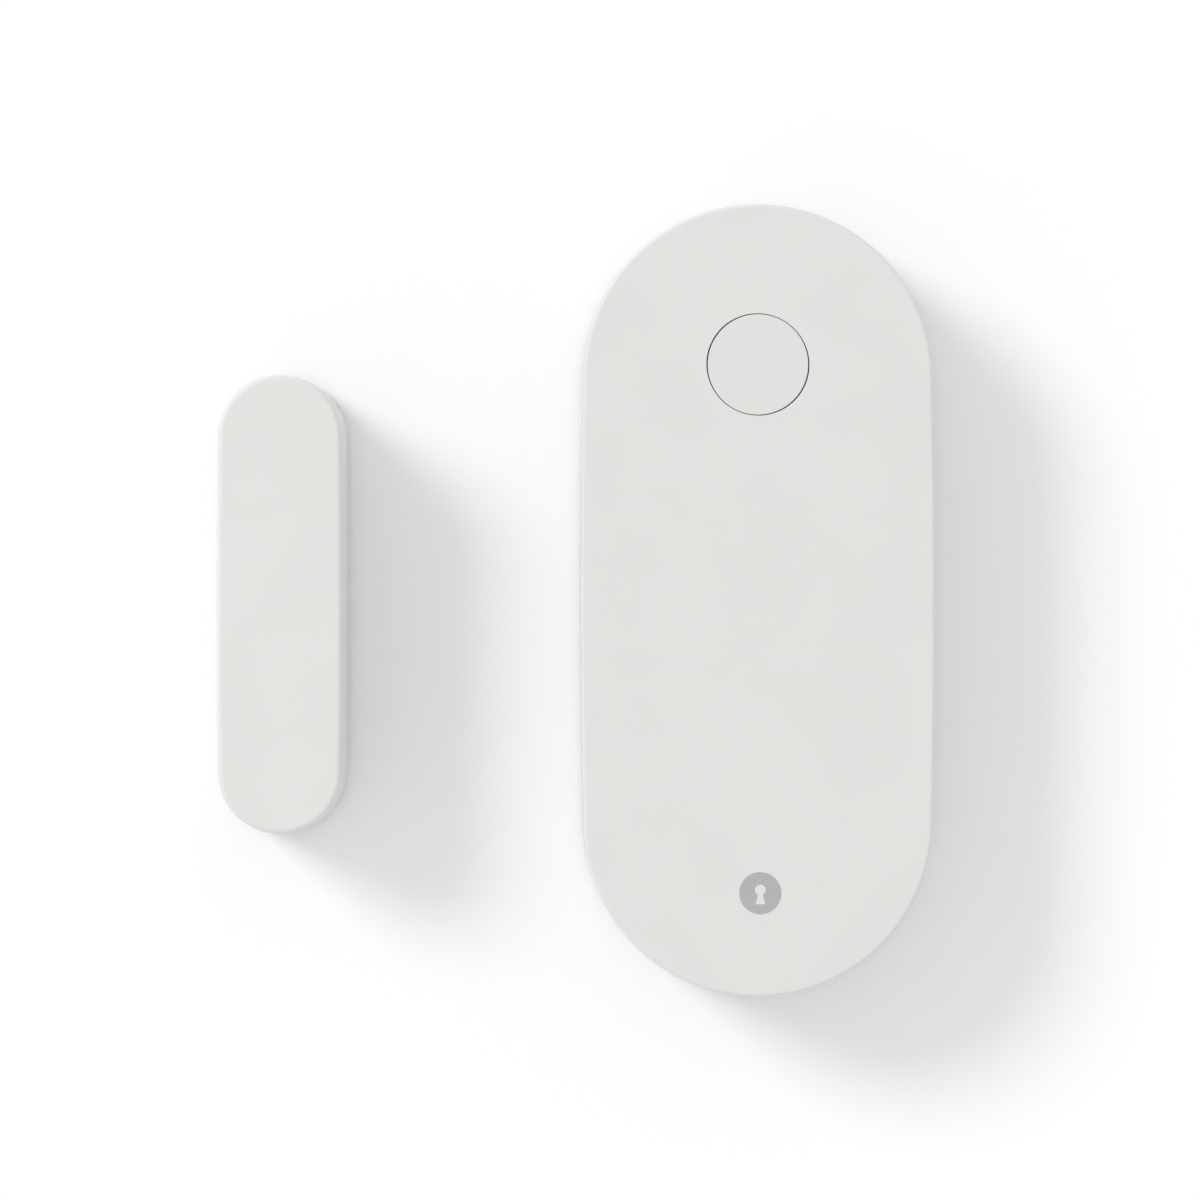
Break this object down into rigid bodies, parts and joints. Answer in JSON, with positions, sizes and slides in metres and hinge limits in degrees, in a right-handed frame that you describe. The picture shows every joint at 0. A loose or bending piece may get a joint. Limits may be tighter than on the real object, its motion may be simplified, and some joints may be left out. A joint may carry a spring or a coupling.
{
  "type": "door contact sensor",
  "caption": "Door contact sensor: stadium-shaped wireless reed-switch unit with a round push button, and a slim stadium-shaped magnet unit.",
  "frame": {"origin": "centre of the sensor's mounting face, the underside of its adhesive pad", "axes": "+Z out of the faces, away from the surface that both units are stuck to; +Y along the length, towards the button end; +X across, away from the magnet unit"},
  "size_m": [0.0634, 0.07, 0.015],
  "materials": {
    "white_shell": "fine matte moulded",
    "white_rear": "fine matte moulded",
    "white_button": "fine matte moulded",
    "grey_mark": "pad printed",
    "foam_tape": "foam tape",
    "board_green": "solder mask",
    "radio_green": "solder mask",
    "plated_steel": "tin plated",
    "screw_steel": "zinc plated",
    "cell_steel": "brushed",
    "black_plastic": "moulded",
    "ivory_plastic": "moulded",
    "reed_glass": "clear",
    "magnet_nickel": "nickel plated",
    "capacitor_aluminium": "satin",
    "antenna_ceramic": "ceramic",
    "led_lens": "clear epoxy"
  },
  "bodies": {
    "sensor_base": {"sensor_adhesive_pad": "foam_tape", "rear_cover": "white_rear", "circuit_board": "board_green", "board_screw_top": "screw_steel", "board_screw_bottom": "screw_steel", "reed_glass": "reed_glass", "reed_lead_fixed": "plated_steel", "reed_lead_sprung": "plated_steel", "switch_body": "black_plastic", "switch_dome": "plated_steel", "switch_frame": "plated_steel", "cell_holder": "black_plastic", "coin_cell": "cell_steel", "cell_positive_clip": "plated_steel", "cell_negative_contact": "plated_steel", "radio_board": "radio_green", "radio_chip": "black_plastic", "radio_shield": "plated_steel", "radio_antenna": "antenna_ceramic", "status_led": "led_lens", "regulator_chip": "black_plastic", "bulk_capacitor": "capacitor_aluminium"},
    "front_cover": {"front_cover": "white_shell"},
    "button": {"button_cap": "white_button"},
    "switch_plunger": {"switch_plunger": "ivory_plastic"},
    "reed_blade": {"reed_blade": "plated_steel"},
    "magnet_unit": {"magnet_adhesive_pad": "foam_tape", "magnet_base": "white_rear", "bar_magnet": "magnet_nickel", "magnet_cover": "white_shell"}
  },
  "joints": [
    {"name": "cover_lift", "type": "slide", "parent": "sensor_base", "child": "front_cover", "axis": [0, 0, 1], "range_m": [0, 0.025]},
    {"name": "button_press", "type": "slide", "parent": "front_cover", "child": "button", "axis": [0, 0, -1], "range_m": [0, 0.0003], "stiffness_N_per_m": 5000},
    {"name": "plunger_press", "type": "slide", "parent": "sensor_base", "child": "switch_plunger", "axis": [0, 0, -1], "range_m": [0, 0.0003]},
    {"name": "magnet_travel", "type": "slide", "parent": "sensor_base", "child": "magnet_unit", "axis": [1, 0, 0], "range_m": [0, 0.0154]},
    {"name": "reed_close", "type": "hinge", "parent": "sensor_base", "child": "reed_blade", "pos_m": [-0.0115, 0.00455, 0.00761], "axis": [1, 0, 0], "range_deg": [0, 1.1]}
  ],
  "couplings": [
    {"joint": "plunger_press", "follows": "button_press", "ratio": 1},
    {"joint": "reed_close", "follows": "magnet_travel", "rad_per_m": 1.24}
  ]
}
